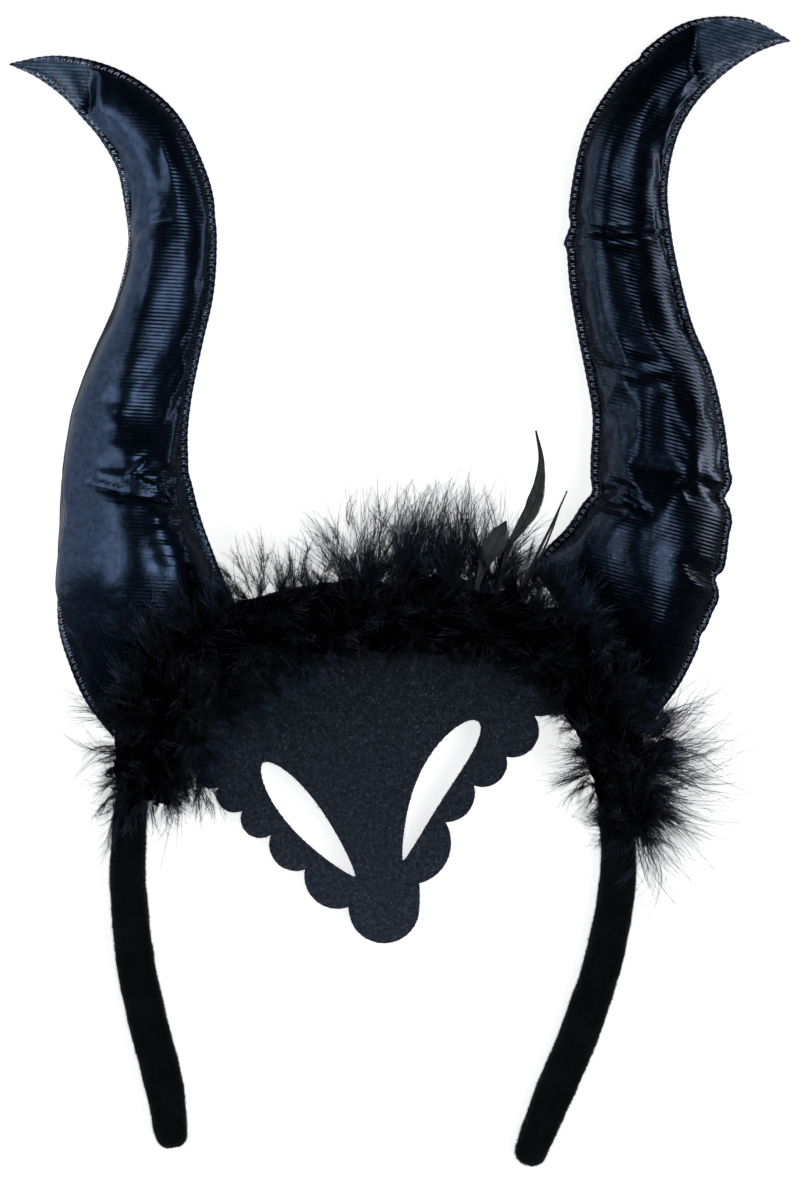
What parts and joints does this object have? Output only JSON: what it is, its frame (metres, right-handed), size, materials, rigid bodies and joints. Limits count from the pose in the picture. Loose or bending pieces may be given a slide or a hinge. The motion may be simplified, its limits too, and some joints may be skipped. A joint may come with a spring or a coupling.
{
  "type": "devil horns headband",
  "caption": "Padded velour headband with stuffed ribbed fabric horns, a feather boa trim, blade feathers and a scalloped felt brow piece.",
  "frame": {"origin": "centre of the bounding box at its lowest level, on the surface that the headband lies on with its front up", "axes": "+Y from the band's open ends towards the horns' tips, +Z out of the front, +X to the right as seen from the front"},
  "size_m": [0.218, 0.32, 0.0425],
  "materials": {
    "velour": "short black pile, matt, over a padded band",
    "coated_fabric": "dark navy foil-coated fabric with fine ribs, soft wet gloss, overlocked seams",
    "felt": "charcoal felt with a few light fibres, matt",
    "down": "black marabou down, very soft and fluffy",
    "feather": "stiff black vaned feather with a satin sheen"
  },
  "bodies": {
    "root": {"headband": "velour", "horn_left": "coated_fabric", "horn_right": "coated_fabric", "brow_felt": "felt", "feather_trim": "down", "blade_feather_long": "feather", "blade_feather_short": "feather"}
  },
  "joints": []
}
